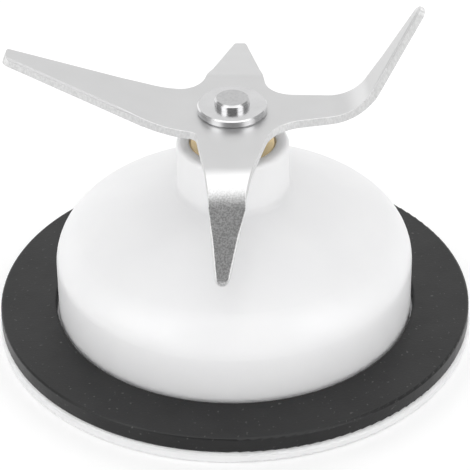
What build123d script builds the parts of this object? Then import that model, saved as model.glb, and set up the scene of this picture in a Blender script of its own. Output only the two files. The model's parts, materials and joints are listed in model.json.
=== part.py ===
from build123d import *

import os
from math import cos, hypot, radians, sin, tan
from typing import NamedTuple

# A blender's blade unit: a bent four-arm knife on a spindle, its moulded holder and its sealing ring.
# Sizes are millimetres. The origin is the centre of the flange's underside, and +Z runs up the spindle.

# Moulded holder, seen from outside
FLANGE_WIDTH = 10.7
FLANGE_THICKNESS = 2.0
FLANGE_ROUND = 0.6
DOME_RADIUS = 31.6
SHOULDER_HEIGHT = 17.7
SHOULDER_RADIUS = 8.0
CROWN_BULGE = 0.8
NECK_RADIUS = 9.8
NECK_ROOT = 28.3
NECK_TOP = 37.3
NECK_ROUND = 0.8
NECK_ROOT_FILLET = 1.2

# Moulded holder, underneath
HOLDER_WALL = 2.5
BOSS_RADIUS = 10.6
BOSS_BOTTOM = 17.5
RIB_COUNT = 8
RIB_THICKNESS = 1.6
RIB_FOOT = 10.5

# Sealing ring
RING_INSET = 0.3
RING_THICKNESS = 3.0
RING_ROUND = 0.4
RING_CLEARANCE = 0.4

# Spindle and what carries it
SPINDLE_RADIUS = 3.0
SPINDLE_STAND = 1.2
SPINDLE_CHAMFER = 0.3
THREAD_RADIUS = 2.5
SLEEVE_RADIUS = 7.6
SLEEVE_SINK = 0.3
SLEEVE_STAND = 0.5
SLEEVE_CHAMFER = 0.4
BUSH_RADIUS = 4.8
BUSH_LENGTH = 7.2
SEAL_LENGTH = 3.6
SEAL_SINK = 0.4
SEAL_LIP = 0.8
SEAL_WALL = 1.0

# Washers and clip on the spindle
THRUST_RADIUS = 5.4
THRUST_THICKNESS = 0.6
CLIP_RADIUS = 5.0
CLIP_THICKNESS = 0.7
CLIP_GROOVE = 0.6
CLIP_MOUTH = 3.8

# Collar and washer that clamp the knife
COLLAR_RADIUS = 5.0
COLLAR_WAIST = 0.5
COLLAR_HEIGHT = 3.9
WASHER_RADIUS = 6.0
WASHER_THICKNESS = 1.4
WASHER_CHAMFER = 0.2

# Drive coupling under the dome
COUPLING_RADIUS = 11.0
COUPLING_SHOULDER = 7.5
COUPLING_RIM = 7.4
COUPLING_BOTTOM = 3.2
SOCKET_RADIUS = 8.6
SOCKET_DEPTH = 5.6
TOOTH_COUNT = 6
TOOTH_WIDTH = 2.4
TOOTH_REACH = 2.6
HUB_RADIUS = 5.0
HUB_GAP = 0.5
THREAD_STOP = 0.5

# Fits: running round the spindle, running along it, and seating on it
RUNNING_GAP = 0.04
END_GAP = 0.2
SEAT_GAP = 0.02

# Knife sheet
SHEET = 1.5
ROOT_AT = 10.0
TIP_ROUND = 0.65
EDGE_GRIND = 0.35
EDGE_BREAK = 0.25
GRIND_RUN = 5.0

# Knife arms: lengths run along the sheet from the axis, widths are halves, and a notch follows each arm
RIGHT_LENGTH = 41.7
RIGHT_ROOT = 4.6
RIGHT_TIP = 0.85
RIGHT_BEND_AT = 21.3
RIGHT_BEND_RADIUS = 7.6
RIGHT_NOTCH = 5.0
BACK_LENGTH = 39.6
BACK_ROOT = 5.4
BACK_TIP = 1.1
BACK_BEND_AT = 12.0
BACK_BEND_RADIUS = 7.0
BACK_NOTCH = 5.5
LEFT_LENGTH = 40.3
LEFT_ROOT = 6.7
LEFT_TIP = 1.7
LEFT_BEND_AT = 10.7
LEFT_BEND_RADIUS = 22.7
LEFT_NOTCH = 1.6
FRONT_LENGTH = 38.8
FRONT_ROOT = 5.6
FRONT_TIP = 1.1
FRONT_TIP_SHIFT = -2.4
FRONT_FLARE = 0.8
FRONT_BEND_AT = 22.3
FRONT_BEND_RADIUS = 8.0
FRONT_NOTCH = 8.0


class Arm(NamedTuple):
    """One arm of the knife. Lengths run along the sheet from the axis, and an upward bend is positive."""

    azimuth: float
    length: float
    root_half: float
    tip_half: float
    bend_at: float
    bend_angle: float
    bend_radius: float
    notch_radius: float
    tip_shift: float = 0.0
    root_flare: float = 0.0

    def flat_end(self):
        """Where the flat stretch ends and the bend starts."""
        return self.bend_at - self.bend_radius * tan(radians(abs(self.bend_angle)) / 2)

    def seam(self):
        """The place where the flat stretch ends, turned to face outwards."""
        place = Vector(self.flat_end(), 0, 0).rotate(Axis.Z, self.azimuth)
        return Location(place, (0, 0, self.azimuth))

    def straight_length(self):
        """Length of the straight stretch past the bend."""
        return self.length - self.flat_end() - self.bend_radius * radians(abs(self.bend_angle))

    def bend_reach(self):
        """Distance from the axis, seen from above, to the end of the bend."""
        return self.flat_end() + self.bend_radius * sin(radians(abs(self.bend_angle)))

    def notch(self):
        """A place in the notch between this arm and the next one."""
        return Vector(ROOT_AT, 0, 0).rotate(Axis.Z, self.azimuth + 180 / len(ARMS))

    def half_width(self, along):
        """Half the arm's width at a length along the sheet."""
        share = (along - ROOT_AT) / (self.length - ROOT_AT)
        return self.root_half + (self.tip_half - self.root_half) * share

    def shift(self, along):
        """How far the arm's middle has swept sideways at a length along the sheet."""
        return self.tip_shift * max(along - ROOT_AT, 0.0) / (self.length - ROOT_AT)

    def blade_plane(self):
        """The straight stretch's upper face: x runs along it from the end of the bend."""
        slope = radians(self.bend_angle)
        bend_rise = self.bend_radius * (1 - cos(slope)) * (1 if slope > 0 else -1)
        return Plane(
            origin=Vector(self.bend_reach(), 0, knife_top + bend_rise).rotate(Axis.Z, self.azimuth),
            x_dir=Vector(cos(slope), 0, sin(slope)).rotate(Axis.Z, self.azimuth),
            z_dir=Vector(-sin(slope), 0, cos(slope)).rotate(Axis.Z, self.azimuth),
        )

    def blade_edge(self, beyond, side):
        """A point on that face's edge, that far beyond the bend: side 1 leads and side -1 trails."""
        along = self.length - self.straight_length() + beyond
        return (beyond, self.shift(along) + side * self.half_width(along))


ARMS = [
    Arm(azimuth=4.1, length=RIGHT_LENGTH, root_half=RIGHT_ROOT, tip_half=RIGHT_TIP,
        bend_at=RIGHT_BEND_AT, bend_angle=61.1, bend_radius=RIGHT_BEND_RADIUS, notch_radius=RIGHT_NOTCH),
    Arm(azimuth=87.6, length=BACK_LENGTH, root_half=BACK_ROOT, tip_half=BACK_TIP,
        bend_at=BACK_BEND_AT, bend_angle=-17.0, bend_radius=BACK_BEND_RADIUS, notch_radius=BACK_NOTCH),
    Arm(azimuth=176.5, length=LEFT_LENGTH, root_half=LEFT_ROOT, tip_half=LEFT_TIP,
        bend_at=LEFT_BEND_AT, bend_angle=21.1, bend_radius=LEFT_BEND_RADIUS, notch_radius=LEFT_NOTCH),
    Arm(azimuth=270.7, length=FRONT_LENGTH, root_half=FRONT_ROOT, tip_half=FRONT_TIP,
        bend_at=FRONT_BEND_AT, bend_angle=-60.0, bend_radius=FRONT_BEND_RADIUS, notch_radius=FRONT_NOTCH,
        tip_shift=FRONT_TIP_SHIFT, root_flare=FRONT_FLARE),
]

# Heights that follow from the sizes above
sleeve_top = NECK_TOP - SLEEVE_SINK
sleeve_bottom = BOSS_BOTTOM - SLEEVE_STAND
collar_bottom = sleeve_top + THRUST_THICKNESS + END_GAP
knife_bottom = collar_bottom + COLLAR_HEIGHT
knife_top = knife_bottom + SHEET
washer_top = knife_top + WASHER_THICKNESS
spindle_top = washer_top + SPINDLE_STAND
lower_thrust_top = sleeve_bottom - END_GAP
clip_top = lower_thrust_top - THRUST_THICKNESS
clip_bottom = clip_top - CLIP_THICKNESS
coupling_top = clip_bottom - HUB_GAP
socket_floor = COUPLING_BOTTOM + SOCKET_DEPTH
spindle_bottom = socket_floor + THREAD_STOP
seal_top = sleeve_top - SEAL_SINK
upper_bush_top = seal_top - SEAL_LENGTH - END_GAP
groove_radius = SPINDLE_RADIUS - CLIP_GROOVE
crown_slope = (NECK_ROOT - SHOULDER_HEIGHT) / (DOME_RADIUS - NECK_RADIUS)
inner_wall = DOME_RADIUS - HOLDER_WALL
flange_radius = DOME_RADIUS + FLANGE_WIDTH
ring_outer = flange_radius - RING_INSET
blank_width = 2 * max(arm.length for arm in ARMS)


def inner_crown(radius):
    """Height of the cavity's roof, one wall below the crown's slope."""
    outside = SHOULDER_HEIGHT + (DOME_RADIUS - radius) * crown_slope
    return outside - HOLDER_WALL * hypot(1.0, crown_slope)


def turned(inner, outer, bottom, top):
    """A plain turned ring about the spindle."""
    with BuildPart() as ring:
        with BuildSketch(Plane.XY.offset(bottom)):
            Circle(outer)
            Circle(inner, mode=Mode.SUBTRACT)
        extrude(amount=top - bottom)
    return ring


def side_plane(arm):
    """The upright plane along an arm: x runs outwards, y runs up, and the origin is on the sheet's middle."""
    out = (cos(radians(arm.azimuth)), sin(radians(arm.azimuth)), 0)
    across = (out[1], -out[0], 0)
    return Plane(origin=(0, 0, knife_top - SHEET / 2), x_dir=out, z_dir=across)


def root_plan(arm):
    """An arm's flat stretch and bend, seen from above. The end of the bend has the same width all through."""
    end_along = arm.length - arm.straight_length()
    end_places = sorted((arm.bend_reach(), arm.bend_reach() + SHEET * sin(radians(arm.bend_angle))))
    stations = [(0.0, 0.0), (end_places[0], end_along), (end_places[1], end_along)]
    leading = [(out, arm.shift(along) + arm.half_width(along)) for out, along in stations[1:]]
    trailing = [(out, arm.shift(along) - arm.half_width(along)) for out, along in stations]
    with BuildSketch() as plan:
        with BuildLine():
            Polyline((0.0, arm.half_width(0) + arm.root_flare), *leading, *reversed(trailing), close=True)
        make_face()
    return plan.sketch.rotate(Axis.Z, arm.azimuth)


os.makedirs("parts", exist_ok=True)

# The space under the dome, less the boss and the ribs that stay in it
with BuildPart() as cavity:
    with BuildSketch(Plane.XZ) as cavity_section:
        with BuildLine():
            Polyline(
                (0, 0),
                (inner_wall, 0),
                (inner_wall, inner_crown(inner_wall)),
                (BOSS_RADIUS, inner_crown(BOSS_RADIUS)),
                (BOSS_RADIUS, BOSS_BOTTOM),
                (0, BOSS_BOTTOM),
                close=True,
            )
        make_face()
        roof_corner = cavity_section.vertices().sort_by_distance((inner_wall, inner_crown(inner_wall)))[0]
        fillet(roof_corner, radius=SHOULDER_RADIUS - HOLDER_WALL)
    revolve(axis=Axis.Z)
    with BuildSketch(Plane.XZ):
        with BuildLine():
            Polyline(
                (BOSS_RADIUS - RIB_THICKNESS, BOSS_BOTTOM),
                (DOME_RADIUS, RIB_FOOT),
                (DOME_RADIUS, NECK_ROOT),
                (BOSS_RADIUS - RIB_THICKNESS, NECK_ROOT),
                close=True,
            )
        make_face()
    one_rib = extrude(amount=RIB_THICKNESS / 2, both=True, mode=Mode.PRIVATE)
    with PolarLocations(0, RIB_COUNT, start_angle=180 / RIB_COUNT):
        add(one_rib, mode=Mode.SUBTRACT)

# Holder: flange, dome and neck moulded in one piece round the bearing sleeve
with BuildPart() as blade_holder:
    with BuildSketch(Plane.XZ) as holder_section:
        with BuildLine():
            rise = Polyline(
                (0, 0),
                (flange_radius, 0),
                (flange_radius, FLANGE_THICKNESS),
                (DOME_RADIUS, FLANGE_THICKNESS),
                (DOME_RADIUS, SHOULDER_HEIGHT),
            )
            crown = SagittaArc(rise @ 1, (NECK_RADIUS, NECK_ROOT), -CROWN_BULGE)
            Polyline(crown @ 1, (NECK_RADIUS, NECK_TOP), (0, NECK_TOP), (0, 0))
        make_face()
        corners = holder_section.vertices()
        fillet(corners.sort_by_distance((DOME_RADIUS, SHOULDER_HEIGHT))[0], radius=SHOULDER_RADIUS)
        corners = holder_section.vertices()
        fillet(corners.sort_by_distance((NECK_RADIUS, NECK_ROOT))[0], radius=NECK_ROOT_FILLET)
        corners = holder_section.vertices()
        fillet(corners.sort_by_distance((NECK_RADIUS, NECK_TOP))[0], radius=NECK_ROUND)
        rim = holder_section.vertices().sort_by(Axis.X)[-2:]
        fillet(rim, radius=FLANGE_ROUND)
    revolve(axis=Axis.Z)
    add(cavity.part, mode=Mode.SUBTRACT)
    with BuildSketch(Plane.XY.offset(NECK_TOP)):
        Circle(SLEEVE_RADIUS)
    extrude(amount=-NECK_TOP, mode=Mode.SUBTRACT)
blade_holder.part.label = "blade_holder"
export_step(blade_holder.part, "parts/blade_holder.step")

# Sealing ring, lying on the flange round the dome
with BuildPart() as sealing_ring:
    with BuildSketch(Plane.XY.offset(FLANGE_THICKNESS)):
        Circle(ring_outer)
        Circle(DOME_RADIUS + RING_CLEARANCE, mode=Mode.SUBTRACT)
    extrude(amount=RING_THICKNESS)
    fillet(sealing_ring.edges().filter_by(GeomType.CIRCLE), radius=RING_ROUND)
sealing_ring.part.label = "sealing_ring"
export_step(sealing_ring.part, "parts/sealing_ring.step")

# Brass sleeve in the neck
with BuildPart() as bearing_sleeve:
    add(turned(BUSH_RADIUS, SLEEVE_RADIUS, sleeve_bottom, sleeve_top).part)
    chamfer(bearing_sleeve.edges().filter_by(GeomType.CIRCLE), length=SLEEVE_CHAMFER)
bearing_sleeve.part.label = "bearing_sleeve"
export_step(bearing_sleeve.part, "parts/bearing_sleeve.step")

# Sintered bushes, pressed in from both ends of the sleeve
upper_bush = turned(SPINDLE_RADIUS + RUNNING_GAP, BUSH_RADIUS, upper_bush_top - BUSH_LENGTH, upper_bush_top)
upper_bush.part.label = "upper_bush"
export_step(upper_bush.part, "parts/upper_bush.step")

lower_bush = turned(SPINDLE_RADIUS + RUNNING_GAP, BUSH_RADIUS, sleeve_bottom, sleeve_bottom + BUSH_LENGTH)
lower_bush.part.label = "lower_bush"
export_step(lower_bush.part, "parts/lower_bush.step")

# Lip seal above the upper bush
with BuildPart() as shaft_seal:
    with BuildSketch(Plane.XZ):
        with BuildLine():
            lip_radius = SPINDLE_RADIUS + RUNNING_GAP
            Polyline(
                (BUSH_RADIUS, seal_top - SEAL_LENGTH),
                (BUSH_RADIUS, seal_top),
                (BUSH_RADIUS - SEAL_WALL, seal_top),
                (BUSH_RADIUS - SEAL_WALL, seal_top - SEAL_LENGTH + 2 * SEAL_WALL),
                (lip_radius, seal_top - SEAL_LIP),
                (lip_radius, seal_top - SEAL_LENGTH),
                close=True,
            )
        make_face()
    revolve(axis=Axis.Z)
shaft_seal.part.label = "shaft_seal"
export_step(shaft_seal.part, "parts/shaft_seal.step")

# Thrust washers above and below the sleeve
upper_thrust_washer = turned(
    SPINDLE_RADIUS + RUNNING_GAP, THRUST_RADIUS, sleeve_top, sleeve_top + THRUST_THICKNESS
)
upper_thrust_washer.part.label = "upper_thrust_washer"
export_step(upper_thrust_washer.part, "parts/upper_thrust_washer.step")

lower_thrust_washer = turned(SPINDLE_RADIUS + SEAT_GAP, THRUST_RADIUS, clip_top, lower_thrust_top)
lower_thrust_washer.part.label = "lower_thrust_washer"
export_step(lower_thrust_washer.part, "parts/lower_thrust_washer.step")

# Spindle: grooved for the clip, and turned down at the foot for the coupling's hub
with BuildPart() as spindle:
    with BuildSketch(Plane.XZ):
        with BuildLine():
            Polyline(
                (0, spindle_bottom),
                (THREAD_RADIUS - SPINDLE_CHAMFER, spindle_bottom),
                (THREAD_RADIUS, spindle_bottom + SPINDLE_CHAMFER),
                (THREAD_RADIUS, coupling_top),
                (SPINDLE_RADIUS, coupling_top),
                (SPINDLE_RADIUS, clip_bottom),
                (groove_radius, clip_bottom),
                (groove_radius, clip_top),
                (SPINDLE_RADIUS, clip_top),
                (SPINDLE_RADIUS, spindle_top - SPINDLE_CHAMFER),
                (SPINDLE_RADIUS - SPINDLE_CHAMFER, spindle_top),
                (0, spindle_top),
                close=True,
            )
        make_face()
    revolve(axis=Axis.Z)
spindle.part.label = "spindle"
export_step(spindle.part, "parts/spindle.step")

# Spring clip in the spindle's groove, open on one side
with BuildPart() as retaining_clip:
    with BuildSketch(Plane.XY.offset(clip_bottom)):
        Circle(CLIP_RADIUS)
        Circle(groove_radius + SEAT_GAP, mode=Mode.SUBTRACT)
        with Locations((CLIP_RADIUS / 2, 0)):
            Rectangle(CLIP_RADIUS, CLIP_MOUTH, mode=Mode.SUBTRACT)
    extrude(amount=CLIP_THICKNESS)
retaining_clip.part.label = "retaining_clip"
export_step(retaining_clip.part, "parts/retaining_clip.step")

# Waisted collar that the knife sits on
with BuildPart() as knife_collar:
    with BuildSketch(Plane.XZ):
        with BuildLine():
            collar_bore = SPINDLE_RADIUS + SEAT_GAP
            bore = Line((collar_bore, knife_bottom), (collar_bore, collar_bottom))
            foot = Line(bore @ 1, (COLLAR_RADIUS, collar_bottom))
            waist = SagittaArc(foot @ 1, (COLLAR_RADIUS, knife_bottom), COLLAR_WAIST)
            Line(waist @ 1, bore @ 0)
        make_face()
    revolve(axis=Axis.Z)
knife_collar.part.label = "knife_collar"
export_step(knife_collar.part, "parts/knife_collar.step")

# Knife: one stamped sheet, each arm bent its own way and ground along its edges
with BuildPart() as knife:
    with BuildSketch(Plane.XY.offset(knife_bottom)):
        Rectangle(blank_width, blank_width)
        for arm in ARMS:
            with Locations(arm.seam()):
                Rectangle(blank_width, blank_width, align=(Align.MAX, Align.CENTER), mode=Mode.INTERSECT)
    extrude(amount=SHEET)
    for place, arm in enumerate(ARMS):
        neighbours = (ARMS[place - 1], ARMS[(place + 1) % len(ARMS)])
        with BuildSketch(side_plane(arm)):
            with BuildLine():
                middle_radius = arm.bend_radius + SHEET / 2 * (1 if arm.bend_angle > 0 else -1)
                JernArc((arm.flat_end(), 0), (1, 0), middle_radius, arm.bend_angle)
            trace(line_width=SHEET)
        extrude(amount=min(beside.flat_end() for beside in neighbours), both=True)
    with BuildSketch() as outline:
        for arm in ARMS:
            add(root_plan(arm))
        for arm in ARMS:
            fillet(outline.vertices().sort_by_distance(arm.notch())[0], radius=arm.notch_radius)
    extrude(amount=2 * spindle_top, mode=Mode.INTERSECT)
    for arm in ARMS:
        with BuildSketch(arm.blade_plane()) as blade:
            with BuildLine():
                tip = arm.straight_length()
                Polyline(
                    arm.blade_edge(0, 1),
                    arm.blade_edge(tip, 1),
                    arm.blade_edge(tip, -1),
                    arm.blade_edge(0, -1),
                    close=True,
                )
            make_face()
            fillet(blade.vertices().sort_by(Axis.X)[-2:], radius=arm.tip_half * TIP_ROUND)
        extrude(amount=-SHEET)
    with BuildSketch(Plane.XY.offset(knife_bottom)):
        Circle(SPINDLE_RADIUS + SEAT_GAP)
    extrude(amount=SHEET, mode=Mode.SUBTRACT)
    for side, cut in ((1, EDGE_GRIND), (-1, EDGE_BREAK)):
        for arm in ARMS:
            face = arm.blade_plane()
            root = face.from_local_coords(arm.blade_edge(0, side))
            edge = face.from_local_coords(arm.blade_edge(arm.straight_length(), side)) - root
            for beyond, depth in ((0, 0), (GRIND_RUN, cut), (arm.straight_length() + SHEET, cut)):
                place = face.from_local_coords(arm.blade_edge(beyond, side))
                with BuildSketch(Plane(place, x_dir=face.z_dir.cross(edge), z_dir=edge)):
                    with BuildLine():
                        Polyline(
                            (side * -(depth + SHEET), SHEET),
                            (side * SHEET, SHEET),
                            (side * SHEET, -(depth + SHEET)),
                            close=True,
                        )
                    make_face()
            loft(ruled=True, mode=Mode.SUBTRACT)
knife.part.label = "knife"
export_step(knife.part, "parts/knife.step")

# Washer that clamps the knife
with BuildPart() as knife_washer:
    add(turned(SPINDLE_RADIUS + SEAT_GAP, WASHER_RADIUS, knife_top, washer_top).part)
    outer_rims = knife_washer.edges().filter_by(GeomType.CIRCLE).sort_by(SortBy.RADIUS)[-2:]
    chamfer(outer_rims, length=WASHER_CHAMFER)
knife_washer.part.label = "knife_washer"
export_step(knife_washer.part, "parts/knife_washer.step")

# Brass hub on the spindle's thread, six-sided so that it can't turn in the coupling
with BuildPart() as coupling_hub:
    with BuildSketch(Plane.XY.offset(socket_floor)):
        RegularPolygon(HUB_RADIUS, 6)
        Circle(THREAD_RADIUS + SEAT_GAP, mode=Mode.SUBTRACT)
    extrude(amount=coupling_top - socket_floor)
coupling_hub.part.label = "coupling_hub"
export_step(coupling_hub.part, "parts/coupling_hub.step")

# Drive coupling, moulded round the hub, with a toothed socket for the motor's drive
with BuildPart() as drive_coupling:
    with BuildSketch(Plane.XZ):
        with BuildLine():
            Polyline(
                (0, COUPLING_BOTTOM),
                (COUPLING_RADIUS, COUPLING_BOTTOM),
                (COUPLING_RADIUS, COUPLING_BOTTOM + COUPLING_RIM),
                (COUPLING_SHOULDER, coupling_top),
                (0, coupling_top),
                close=True,
            )
        make_face()
    revolve(axis=Axis.Z)
    with BuildSketch(Plane.XY.offset(COUPLING_BOTTOM)):
        Circle(SOCKET_RADIUS)
        with PolarLocations(SOCKET_RADIUS, TOOTH_COUNT):
            Rectangle(2 * TOOTH_REACH, TOOTH_WIDTH, mode=Mode.SUBTRACT)
    extrude(amount=SOCKET_DEPTH, mode=Mode.SUBTRACT)
    with BuildSketch(Plane.XY.offset(socket_floor)):
        RegularPolygon(HUB_RADIUS + SEAT_GAP, 6)
    extrude(amount=coupling_top - socket_floor, mode=Mode.SUBTRACT)
drive_coupling.part.label = "drive_coupling"
export_step(drive_coupling.part, "parts/drive_coupling.step")
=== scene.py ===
import json
from math import cos, radians, sin, tau
from typing import NamedTuple

import bmesh
import bpy
from mathutils import Matrix, Vector
from mathutils.bvhtree import BVHTree

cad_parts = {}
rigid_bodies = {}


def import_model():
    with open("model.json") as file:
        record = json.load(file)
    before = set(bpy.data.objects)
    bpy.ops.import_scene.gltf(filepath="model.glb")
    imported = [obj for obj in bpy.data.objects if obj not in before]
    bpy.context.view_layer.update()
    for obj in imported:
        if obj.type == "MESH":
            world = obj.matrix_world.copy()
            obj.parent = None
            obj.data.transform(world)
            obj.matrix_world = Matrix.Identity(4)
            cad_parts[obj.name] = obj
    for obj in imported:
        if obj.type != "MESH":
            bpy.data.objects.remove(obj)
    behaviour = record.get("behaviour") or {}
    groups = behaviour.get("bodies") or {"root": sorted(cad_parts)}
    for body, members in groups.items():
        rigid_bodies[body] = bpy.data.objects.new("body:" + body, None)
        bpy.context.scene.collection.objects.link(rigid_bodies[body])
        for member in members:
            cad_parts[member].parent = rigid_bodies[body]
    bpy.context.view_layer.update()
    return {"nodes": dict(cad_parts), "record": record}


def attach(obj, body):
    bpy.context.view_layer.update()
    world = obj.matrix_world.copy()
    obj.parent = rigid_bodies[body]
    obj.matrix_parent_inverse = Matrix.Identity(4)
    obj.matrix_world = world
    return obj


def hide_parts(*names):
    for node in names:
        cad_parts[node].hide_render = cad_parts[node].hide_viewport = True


# A blender's blade unit on a white table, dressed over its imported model. Everything is in metres.

for leftover in list(bpy.data.objects):
    bpy.data.objects.remove(leftover)

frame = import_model()

# Camera: a long lens in front of the part, looking down on it
CAMERA_AT = (0.00019, -0.3533, 0.2544)
CAMERA_PITCH = radians(33.836)
CAMERA_ROLL = radians(-0.75)
CAMERA_LENS = 183.83
CAMERA_SENSOR = 36.0
CAMERA_NEAR = 0.01
LEVEL = radians(90.0)

# Table, and the surround as it is seen and as it lights the part
TABLE_HALF = 2.0
TABLE_GREY = 0.80
TABLE_GLOW = 0.28
SKY_SEEN = 1.0
SKY_FILL = 0.92


class Lamp(NamedTuple):
    """A soft rectangular lamp that faces the part."""

    name: str
    angle: float
    distance: float
    height: float
    size: tuple
    watts: float


class Card(NamedTuple):
    """A grey card that stands on the table and shows only as a reflection."""

    name: str
    angle: float
    width: float
    grey: float


# Lamps and cards. Angles are degrees round the part, from the front towards the right
SHINY_LAMPS = (
    Lamp("top_lamp", angle=0.0, distance=0.06, height=0.75, size=(1.20, 1.04), watts=4.1),
    Lamp("left_lamp", angle=-56.0, distance=0.60, height=0.24, size=(0.36, 0.60), watts=1.25),
    Lamp("right_lamp", angle=56.0, distance=0.60, height=0.24, size=(0.36, 0.60), watts=1.25),
    Lamp("kick_lamp", angle=-143.0, distance=0.75, height=0.12, size=(0.60, 0.44), watts=0.45),
    Lamp("sheen_lamp", angle=158.0, distance=0.70, height=0.36, size=(0.70, 0.60), watts=0.09),
)
MATT_LAMPS = (
    Lamp("left_fill", angle=-48.0, distance=0.70, height=0.04, size=(0.80, 0.08), watts=1.25),
    Lamp("right_fill", angle=48.0, distance=0.70, height=0.04, size=(0.80, 0.08), watts=1.25),
    Lamp("back_lamp", angle=180.0, distance=0.70, height=0.45, size=(1.00, 0.50), watts=1.0),
)
LAMP_TARGET = Vector((0.0, 0.0, 0.03))
CARDS = (
    Card("front_card", angle=0.0, width=0.95, grey=0.27),
    Card("left_card", angle=-100.0, width=0.60, grey=0.52),
    Card("right_card", angle=100.0, width=0.60, grey=0.52),
)
CARD_DISTANCE = 0.75
CARD_HEIGHT = 1.20

# Colours, in pairs where a cloud runs from one shade to another
WHITE_SHADES = ((0.825, 0.825, 0.835), (0.85, 0.85, 0.855))
RUBBER_SHADES = ((0.004, 0.004, 0.0043), (0.010, 0.010, 0.0104))
DUST = (0.14, 0.14, 0.135)
SHEET_SHADES = ((0.568, 0.568, 0.570), (0.585, 0.585, 0.587))
SHEARED_SHADES = ((0.64, 0.64, 0.64), (0.73, 0.73, 0.73))
# Painted shade: the ground edges are darker than the sheet so that their bevels show no bright line
GROUND_PAINTED_SHADE = (0.53, 0.53, 0.53)
# Painted reflection: the dark speckle of the front arm, standing in for the speckle in its dark reflection
PAINTED_SPECKLE = (0.36, 0.36, 0.36)
TURNED_STEEL = (0.64, 0.64, 0.645)
SPRING_STEEL = (0.10, 0.10, 0.11)
BRASS = (0.82, 0.65, 0.38)
BRONZE = (0.48, 0.33, 0.18)
SEAL_BLACK = (0.03, 0.03, 0.03)
NYLON = (0.74, 0.71, 0.63)
COUPLING_BLACK = (0.035, 0.035, 0.038)

# Stretch of a noise that clouds run over, and how far light goes into the white plastic
NOISE_MIDDLE = (0.3, 0.7)
WHITE_DEPTH = 0.004

# Spindle's end, dull where it was pressed over
PRESSED_DEPTH = 0.0003
PRESSED_FADE = 0.0001
spindle_top = max(vert.co.z for vert in frame["nodes"]["spindle"].data.vertices)
pressed_from = spindle_top - PRESSED_DEPTH

# Knife's sheet: its thickness, its edges, and the Ys over which the painted dark speckle on the front arm
# fades in
SHEET = 0.0015
SHEET_SLACK = 0.00012
GROUND_DEPTH = 0.0022
EDGE_ROUGHNESS = 0.62
SHEAR_RELIEF = 3.0
PAINTED_SPECKLE_FROM, PAINTED_SPECKLE_TO = -0.0215, -0.0245

# Knife's mesh: what is welded, what counts as flat, and how its corners are rounded
WELD_DISTANCE = 1e-6
FLAT_ANGLE = radians(0.5)
CORNER_RADIUS = 0.00012
CORNER_STEPS = 3
CORNER_ANGLE = radians(28.0)

# Knife's slim tips, the least area of their end faces, and the round nose that each narrows to
SLIM_TIPS = (Vector((1.0, 0.0, 0.0)), Vector((0.0, 1.0, 0.0)), Vector((0.0, -1.0, 0.0)))
END_AREA = 5e-7
NOSE = 0.0012
NOSE_REACH = 2 * NOSE
NOSE_STEPS = 6
NOSE_PULL = 0.5


def grey(level):
    """An opaque grey for a socket."""
    return (level, level, level, 1.0)


def shaded(colour, share):
    """A colour at a share of its brightness."""
    return tuple(share * channel for channel in colour)


def round_the_part(angle, distance, height=0.0):
    """A place at an angle round the part and a distance from its axis."""
    return Vector((distance * sin(radians(angle)), -distance * cos(radians(angle)), height))


def add_object(name, data):
    """A new object in the scene."""
    made = bpy.data.objects.new(name, data)
    bpy.context.scene.collection.objects.link(made)
    return made


def add_panel(name, corners, material):
    """A flat panel with four corners."""
    mesh = bpy.data.meshes.new(name)
    mesh.from_pydata(corners, [], [(0, 1, 2, 3)])
    mesh.materials.append(material)
    return add_object(name, mesh)


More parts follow.
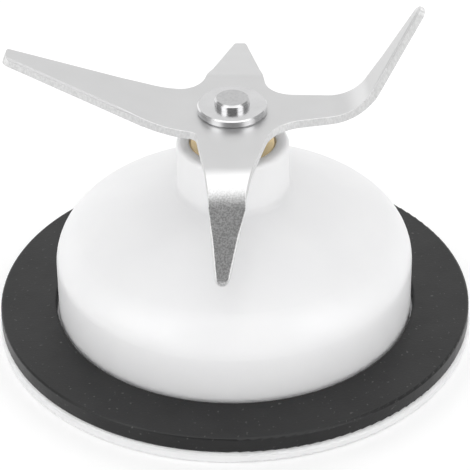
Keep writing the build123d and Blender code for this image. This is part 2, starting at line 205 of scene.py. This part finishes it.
class Finish:
    """A material and short ways to build its nodes. Grains and depths are metres on the part."""

    def __init__(self, name, roughness, metallic=0.0):
        self.material = bpy.data.materials.new(name)
        self.material.use_nodes = True
        self.tree = self.material.node_tree
        self.shader = self.tree.nodes["Principled BSDF"]
        self.shader.inputs["Roughness"].default_value = roughness
        self.shader.inputs["Metallic"].default_value = metallic
        self.place = self.node("ShaderNodeTexCoord").outputs["Object"]

    def node(self, kind, **settings):
        """A new node with its settings."""
        made = self.tree.nodes.new(kind)
        for setting, value in settings.items():
            setattr(made, setting, value)
        return made

    def link(self, source, target):
        """Joins an output to an input."""
        self.tree.links.new(source, target)

    def stretched(self, factors):
        """The part's coordinates, each axis multiplied by its factor."""
        mapping = self.node("ShaderNodeMapping")
        mapping.inputs["Scale"].default_value = factors
        self.link(self.place, mapping.inputs["Vector"])
        return mapping.outputs["Vector"]

    def axis(self, name):
        """One of the part's coordinates: X, Y or Z, which is the height above the table."""
        made = self.node("ShaderNodeSeparateXYZ")
        self.link(self.place, made.inputs["Vector"])
        return made.outputs[name]

    def radius(self):
        """Distance from the spindle's axis."""
        made = self.node("ShaderNodeVectorMath", operation="LENGTH")
        self.link(self.stretched((1.0, 1.0, 0.0)), made.inputs[0])
        return made.outputs["Value"]

    def marked(self, layer):
        """The value that the faces carry in a layer."""
        return self.node("ShaderNodeAttribute", attribute_name=layer).outputs["Fac"]

    def noise(self, grain, detail=3.0, at=None):
        """Noise from 0 to 1 with features about one grain across."""
        made = self.node("ShaderNodeTexNoise")
        made.inputs["Scale"].default_value = 1.0 / grain
        made.inputs["Detail"].default_value = detail
        self.link(at or self.place, made.inputs["Vector"])
        return made.outputs["Fac"]

    def ranged(self, source, over, levels=(0.0, 1.0)):
        """A value that runs between two levels while its source runs over a range, held at the ends."""
        made = self.node("ShaderNodeMapRange")
        names = ("From Min", "From Max", "To Min", "To Max")
        for name, value in zip(names, (*over, *levels)):
            made.inputs[name].default_value = value
        self.link(source, made.inputs["Value"])
        return made.outputs["Result"]

    def cloud(self, grain, detail=3.0, over=NOISE_MIDDLE, levels=(0.0, 1.0)):
        """Noise over a stretch of its range, run between two levels."""
        return self.ranged(self.noise(grain, detail), over, levels)

    def combine(self, operation, first, second=None):
        """A Math operation's result. The second value is an output, a number or left out."""
        made = self.node("ShaderNodeMath", operation=operation)
        self.link(first, made.inputs[0])
        if isinstance(second, float):
            made.inputs[1].default_value = second
        elif second is not None:
            self.link(second, made.inputs[1])
        return made.outputs["Value"]

    def mixed(self, factor, first, second):
        """A colour between two, each a colour or a colour output."""
        made = self.node("ShaderNodeMix", data_type="RGBA")
        self.link(factor, made.inputs["Factor"])
        for name, colour in (("A", first), ("B", second)):
            socket = next(s for s in made.inputs if s.name == name and s.type == "RGBA")
            if isinstance(colour, tuple):
                socket.default_value = (*colour, 1.0)
            else:
                self.link(colour, socket)
        return next(s for s in made.outputs if s.type == "RGBA")

    def colour(self, source):
        """Sets the surface's colour."""
        self.link(source, self.shader.inputs["Base Color"])

    def roughness(self, source):
        """Sets the surface's roughness."""
        self.link(source, self.shader.inputs["Roughness"])

    def uneven_roughness(self, grain, spread, detail=3.0):
        """Roughness that wanders that far to each side of the finish's own."""
        middle = self.shader.inputs["Roughness"].default_value
        return self.cloud(grain, detail, levels=(middle - spread, middle + spread))

    def bump(self, height, depth):
        """Gives the surface relief that deep."""
        made = self.node("ShaderNodeBump")
        made.inputs["Distance"].default_value = depth
        self.link(height, made.inputs["Height"])
        self.link(made.outputs["Normal"], self.shader.inputs["Normal"])


def white_plastic():
    """Satin white moulding, faintly uneven in colour and gloss, that light goes a little way into."""
    finish = Finish("white_plastic", roughness=0.35)
    finish.colour(finish.mixed(finish.cloud(grain=0.012), *WHITE_SHADES))
    finish.roughness(finish.uneven_roughness(grain=0.004, spread=0.05, detail=5.0))
    finish.bump(finish.noise(grain=0.0006), depth=4e-6)
    finish.shader.inputs["Subsurface Weight"].default_value = 1.0
    finish.shader.inputs["Subsurface Radius"].default_value = (1.0, 1.0, 1.0)
    finish.shader.inputs["Subsurface Scale"].default_value = WHITE_DEPTH
    return finish.material


def black_rubber():
    """Smooth rubber with a paler bloom in clouds and dust in specks."""
    finish = Finish("black_rubber", roughness=0.38)
    bloom = finish.cloud(grain=0.009, detail=6.0, over=(0.35, 0.75))
    rubber = finish.mixed(bloom, *RUBBER_SHADES)
    specks = finish.cloud(grain=0.0007, detail=1.0, over=(0.69, 0.79), levels=(0.0, 0.40))
    finish.colour(finish.mixed(specks, rubber, DUST))
    finish.roughness(finish.uneven_roughness(grain=0.003, spread=0.05, detail=5.0))
    finish.bump(finish.noise(grain=0.0005, detail=4.0), depth=2e-5)
    finish.shader.inputs["Specular IOR Level"].default_value = 0.34
    return finish.material


def satin_steel(name, colour, roughness, grain, depth):
    """Bare metal with a fine even grain."""
    finish = Finish(name, roughness=roughness, metallic=1.0)
    cloud = finish.cloud(grain=0.006, detail=5.0)
    finish.colour(finish.mixed(cloud, shaded(colour, share=0.97), colour))
    finish.roughness(finish.uneven_roughness(grain=0.003, spread=0.05 * roughness, detail=4.0))
    finish.bump(finish.noise(grain, detail=2.0), depth=depth)
    return finish.material


def knife_steel():
    """Stamped steel: a satin sheet, edges sheared through the thickness or ground, painted shade on the
    ground edges, and painted dark speckle on the front arm that stands in for its speckled reflection.
    """
    finish = Finish("knife_steel", roughness=0.38, metallic=1.0)
    edge = finish.marked("edge")
    along = finish.axis("Y")

    sheet = finish.mixed(finish.cloud(grain=0.006, detail=5.0), *SHEET_SHADES)
    front = finish.ranged(along, over=(PAINTED_SPECKLE_FROM, PAINTED_SPECKLE_TO))
    # Painted reflection: dark pits on the front arm only, standing in for the speckle that its dark
    # reflection shows
    painted_pits = finish.cloud(grain=0.00028, detail=2.0, over=(0.60, 0.40))
    sheet_with_painted_speckle = finish.mixed(finish.combine("MULTIPLY", front, painted_pits), sheet, PAINTED_SPECKLE)

    shear = finish.noise(grain=0.0003, detail=2.0, at=finish.stretched((1.0, 1.0, 0.5)))
    sheared = finish.mixed(finish.ranged(shear, over=(0.35, 0.65)), *SHEARED_SHADES)
    # Painted shade: the ground edges behind the front arm take a darker colour that dims the highlight on
    # their bevels
    behind = finish.ranged(along, over=(PAINTED_SPECKLE_TO, PAINTED_SPECKLE_FROM))
    ground = finish.combine("MULTIPLY", finish.marked("ground"), behind)
    finish.colour(finish.mixed(edge, sheet_with_painted_speckle, finish.mixed(ground, sheared, GROUND_PAINTED_SHADE)))

    satin = finish.uneven_roughness(grain=0.003, spread=0.02, detail=4.0)
    finish.roughness(finish.combine("MAXIMUM", satin, finish.combine("MULTIPLY", edge, EDGE_ROUGHNESS)))
    marks = finish.combine("MULTIPLY", finish.combine("MULTIPLY", edge, shear), SHEAR_RELIEF)
    finish.bump(finish.combine("ADD", finish.noise(grain=0.0002, detail=2.0), marks), depth=7e-6)
    return finish.material


def turned_metal(name, colour, roughness, pitch, depth):
    """Metal with the fine rings that a lathe leaves, dulled where the spindle's end was pressed over."""
    finish = Finish(name, roughness=roughness, metallic=1.0)
    turned = finish.mixed(finish.cloud(grain=0.004, detail=5.0), shaded(colour, share=0.90), colour)
    pressed = finish.ranged(finish.axis("Z"), over=(pressed_from, pressed_from + PRESSED_FADE))
    marks = finish.cloud(grain=0.0007, detail=4.0, levels=(0.65, 1.0))
    dulled = finish.combine("MULTIPLY", pressed, marks)
    finish.colour(finish.mixed(dulled, turned, shaded(colour, share=0.72)))
    travel = finish.combine("ADD", finish.radius(), finish.axis("Z"))
    rings = finish.combine("SINE", finish.combine("MULTIPLY", travel, tau / pitch))
    finish.bump(rings, depth=depth)
    return finish.material


def plain_plastic(name, colour, roughness):
    """Moulded plastic or rubber with a slight cloud and a fine skin."""
    finish = Finish(name, roughness=roughness)
    cloud = finish.cloud(grain=0.005, detail=5.0)
    finish.colour(finish.mixed(cloud, shaded(colour, share=0.85), colour))
    finish.roughness(finish.uneven_roughness(grain=0.002, spread=0.1 * roughness))
    finish.bump(finish.noise(grain=0.0004), depth=6e-6)
    return finish.material


FINISHES = {
    "white_plastic": white_plastic(),
    "black_rubber": black_rubber(),
    "knife_steel": knife_steel(),
    "turned_steel": turned_metal("turned_steel", TURNED_STEEL, roughness=0.20, pitch=0.00012, depth=6e-7),
    "spring_steel": satin_steel("spring_steel", SPRING_STEEL, roughness=0.35, grain=0.0002, depth=3e-6),
    "brass": turned_metal("brass", BRASS, roughness=0.25, pitch=0.0002, depth=2e-6),
    "sintered_bronze": satin_steel("sintered_bronze", BRONZE, roughness=0.45, grain=0.0003, depth=1e-5),
    "seal_rubber": plain_plastic("seal_rubber", SEAL_BLACK, roughness=0.55),
    "nylon": plain_plastic("nylon", NYLON, roughness=0.40),
    "coupling_plastic": plain_plastic("coupling_plastic", COUPLING_BLACK, roughness=0.45),
}


def dress_nodes():
    """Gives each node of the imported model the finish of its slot."""
    for part in frame["record"]["subparts"]:
        node = frame["nodes"][part["node"]]
        node.data.materials.clear()
        node.data.materials.append(FINISHES[part["material_slot"]])


def mark_edges(sheet):
    """Marks the knife's edges: the faces that aren't one sheet's thickness from the face behind them.

    Those that slant through a little more than the sheet are marked as ground too.
    """
    edge = sheet.faces.layers.float.new("edge")
    ground = sheet.faces.layers.float.new("ground")
    tree = BVHTree.FromBMesh(sheet)
    for face in sheet.faces:
        inwards = -face.normal
        through = tree.ray_cast(face.calc_center_median() + inwards * WELD_DISTANCE, inwards)[3]
        on_sheet = through is not None and abs(through - SHEET) < SHEET_SLACK
        slanted = through is not None and SHEET + SHEET_SLACK < through < GROUND_DEPTH
        face[edge] = 0.0 if on_sheet else 1.0
        face[ground] = 1.0 if slanted else 0.0


def faces_near(sheet, tip):
    """The faces that come near a tip, followed by their edges and corners."""
    near = []
    for face in sheet.faces:
        if any((vert.co - tip).length < NOSE_REACH for vert in face.verts):
            near.append(face)
    edges = dict.fromkeys(edge for face in near for edge in face.edges)
    corners = dict.fromkeys(vert for face in near for vert in face.verts)
    return [*near, *edges, *corners]


def round_tips(sheet):
    """Narrows the flat end of each slim arm to a round nose."""
    for towards in SLIM_TIPS:
        flats = [face for face in sheet.faces if face.calc_area() > END_AREA]
        end = max(flats, key=lambda face: face.calc_center_median().dot(towards))
        tip = end.calc_center_median()
        along = end.normal.copy()
        for step in range(1, NOSE_STEPS + 1):
            cut = tip - along * (NOSE * step / NOSE_STEPS)
            bmesh.ops.bisect_plane(sheet, geom=faces_near(sheet, tip), plane_co=cut, plane_no=along)
        for vert in sheet.verts:
            offset = vert.co - tip
            depth = -offset.dot(along)
            if offset.length < NOSE_REACH and depth < NOSE:
                pull = NOSE_PULL * (1.0 - depth / NOSE) ** 2
                vert.co -= (offset + along * depth) * pull


def knife_mesh():
    """The knife's sheet with its edges marked and its slim tips rounded."""
    sheet = bmesh.new()
    sheet.from_mesh(frame["nodes"]["knife"].data)
    bmesh.ops.remove_doubles(sheet, verts=sheet.verts, dist=WELD_DISTANCE)
    sheet.normal_update()
    mark_edges(sheet)
    bmesh.ops.dissolve_limit(sheet, angle_limit=FLAT_ANGLE, verts=sheet.verts, edges=sheet.edges)
    round_tips(sheet)
    for face in sheet.faces:
        face.smooth = True
    mesh = bpy.data.meshes.new("knife_sheet")
    sheet.to_mesh(mesh)
    sheet.free()
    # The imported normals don't fit the rounded tips and corners
    if "custom_normal" in mesh.attributes:
        mesh.attributes.remove(mesh.attributes["custom_normal"])
    mesh.materials.append(FINISHES["knife_steel"])
    return mesh


def dressed_knife():
    """The knife again, with its corners rounded over as tumbling leaves them."""
    piece = add_object("knife_sheet", knife_mesh())
    corners = piece.modifiers.new("corners", "BEVEL")
    corners.width = CORNER_RADIUS
    corners.segments = CORNER_STEPS
    corners.limit_method = "ANGLE"
    corners.angle_limit = CORNER_ANGLE
    corners.use_clamp_overlap = False
    piece.modifiers.new("shading", "WEIGHTED_NORMAL")
    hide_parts("knife")
    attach(piece, "rotor")


def seen_rays(tree):
    """1 for rays that see the background, straight or mirrored, and 0 for those that light the part."""
    light_path = tree.nodes.new("ShaderNodeLightPath")
    seen = light_path.outputs["Is Camera Ray"]
    for ray in ("Is Glossy Ray", "Is Transmission Ray"):
        either = tree.nodes.new("ShaderNodeMath")
        either.operation = "MAXIMUM"
        tree.links.new(seen, either.inputs[0])
        tree.links.new(light_path.outputs[ray], either.inputs[1])
        seen = either.outputs["Value"]
    return seen


def table_white():
    """Matt white that glows a little where it is seen, so that it shows as white as the surround."""
    material = bpy.data.materials.new("table")
    material.use_nodes = True
    tree = material.node_tree
    tree.nodes.clear()
    diffuse = tree.nodes.new("ShaderNodeBsdfDiffuse")
    diffuse.inputs["Color"].default_value = grey(TABLE_GREY)
    glow = tree.nodes.new("ShaderNodeEmission")
    strength = tree.nodes.new("ShaderNodeMath")
    strength.operation = "MULTIPLY"
    strength.inputs[1].default_value = TABLE_GLOW
    both = tree.nodes.new("ShaderNodeAddShader")
    output = tree.nodes.new("ShaderNodeOutputMaterial")
    tree.links.new(seen_rays(tree), strength.inputs[0])
    tree.links.new(strength.outputs["Value"], glow.inputs["Strength"])
    tree.links.new(diffuse.outputs["BSDF"], both.inputs[0])
    tree.links.new(glow.outputs["Emission"], both.inputs[1])
    tree.links.new(both.outputs["Shader"], output.inputs["Surface"])
    return material


def add_table():
    """A white table that fills the view and keeps the part's shadow."""
    low, high = -TABLE_HALF, TABLE_HALF
    corners = [(low, low, 0.0), (high, low, 0.0), (high, high, 0.0), (low, high, 0.0)]
    table = add_panel("table", corners, table_white())


def add_sky():
    """A white surround for what is seen and mirrored, and an even fill for what is lit."""
    world = bpy.data.worlds.new("surround")
    bpy.context.scene.world = world
    world.use_nodes = True
    tree = world.node_tree
    background = tree.nodes["Background"]
    background.inputs["Color"].default_value = grey(1.0)
    strength = tree.nodes.new("ShaderNodeMapRange")
    strength.inputs["To Min"].default_value = SKY_FILL
    strength.inputs["To Max"].default_value = SKY_SEEN
    tree.links.new(seen_rays(tree), strength.inputs["Value"])
    tree.links.new(strength.outputs["Result"], background.inputs["Strength"])


def add_lamps():
    """Lamps that show in what shines, and lamps that light what is matt."""
    for lamp in SHINY_LAMPS + MATT_LAMPS:
        light = bpy.data.lights.new(lamp.name, "AREA")
        light.shape = "RECTANGLE"
        light.size, light.size_y = lamp.size
        light.energy = lamp.watts
        made = add_object(lamp.name, light)
        place = round_the_part(lamp.angle, lamp.distance, lamp.height)
        facing = (LAMP_TARGET - place).to_track_quat("-Z", "Y")
        made.matrix_world = Matrix.Translation(place) @ facing.to_matrix().to_4x4()
        made.visible_diffuse = lamp in MATT_LAMPS
        made.visible_glossy = lamp in SHINY_LAMPS


def card_grey(name, level):
    """Matt grey with no sheen."""
    material = bpy.data.materials.new(name)
    material.use_nodes = True
    shader = material.node_tree.nodes["Principled BSDF"]
    shader.inputs["Base Color"].default_value = grey(level)
    shader.inputs["Roughness"].default_value = 1.0
    shader.inputs["Specular IOR Level"].default_value = 0.0
    return material


def add_cards():
    """Grey cards round the table, which show only as reflections in what shines."""
    for card in CARDS:
        half = card.width / 2
        corners = [(-half, 0, 0), (half, 0, 0), (half, 0, CARD_HEIGHT), (-half, 0, CARD_HEIGHT)]
        made = add_panel(card.name, corners, card_grey(card.name, card.grey))
        made.location = round_the_part(card.angle, CARD_DISTANCE)
        made.rotation_euler = (0.0, 0.0, radians(card.angle))
        made.visible_camera = False
        made.visible_diffuse = False
        made.visible_shadow = False


def add_camera():
    """The camera at the photograph's place."""
    lens = bpy.data.cameras.new("camera")
    lens.lens = CAMERA_LENS
    lens.sensor_width = CAMERA_SENSOR
    lens.clip_start = CAMERA_NEAR
    camera = add_object("camera", lens)
    tilt = Matrix.Rotation(LEVEL - CAMERA_PITCH, 4, "X")
    camera.matrix_world = Matrix.Translation(CAMERA_AT) @ tilt @ Matrix.Rotation(CAMERA_ROLL, 4, "Z")
    bpy.context.scene.camera = camera


dress_nodes()
dressed_knife()
add_table()
add_sky()
add_lamps()
add_cards()
add_camera()
bpy.context.scene.view_settings.view_transform = "Standard"
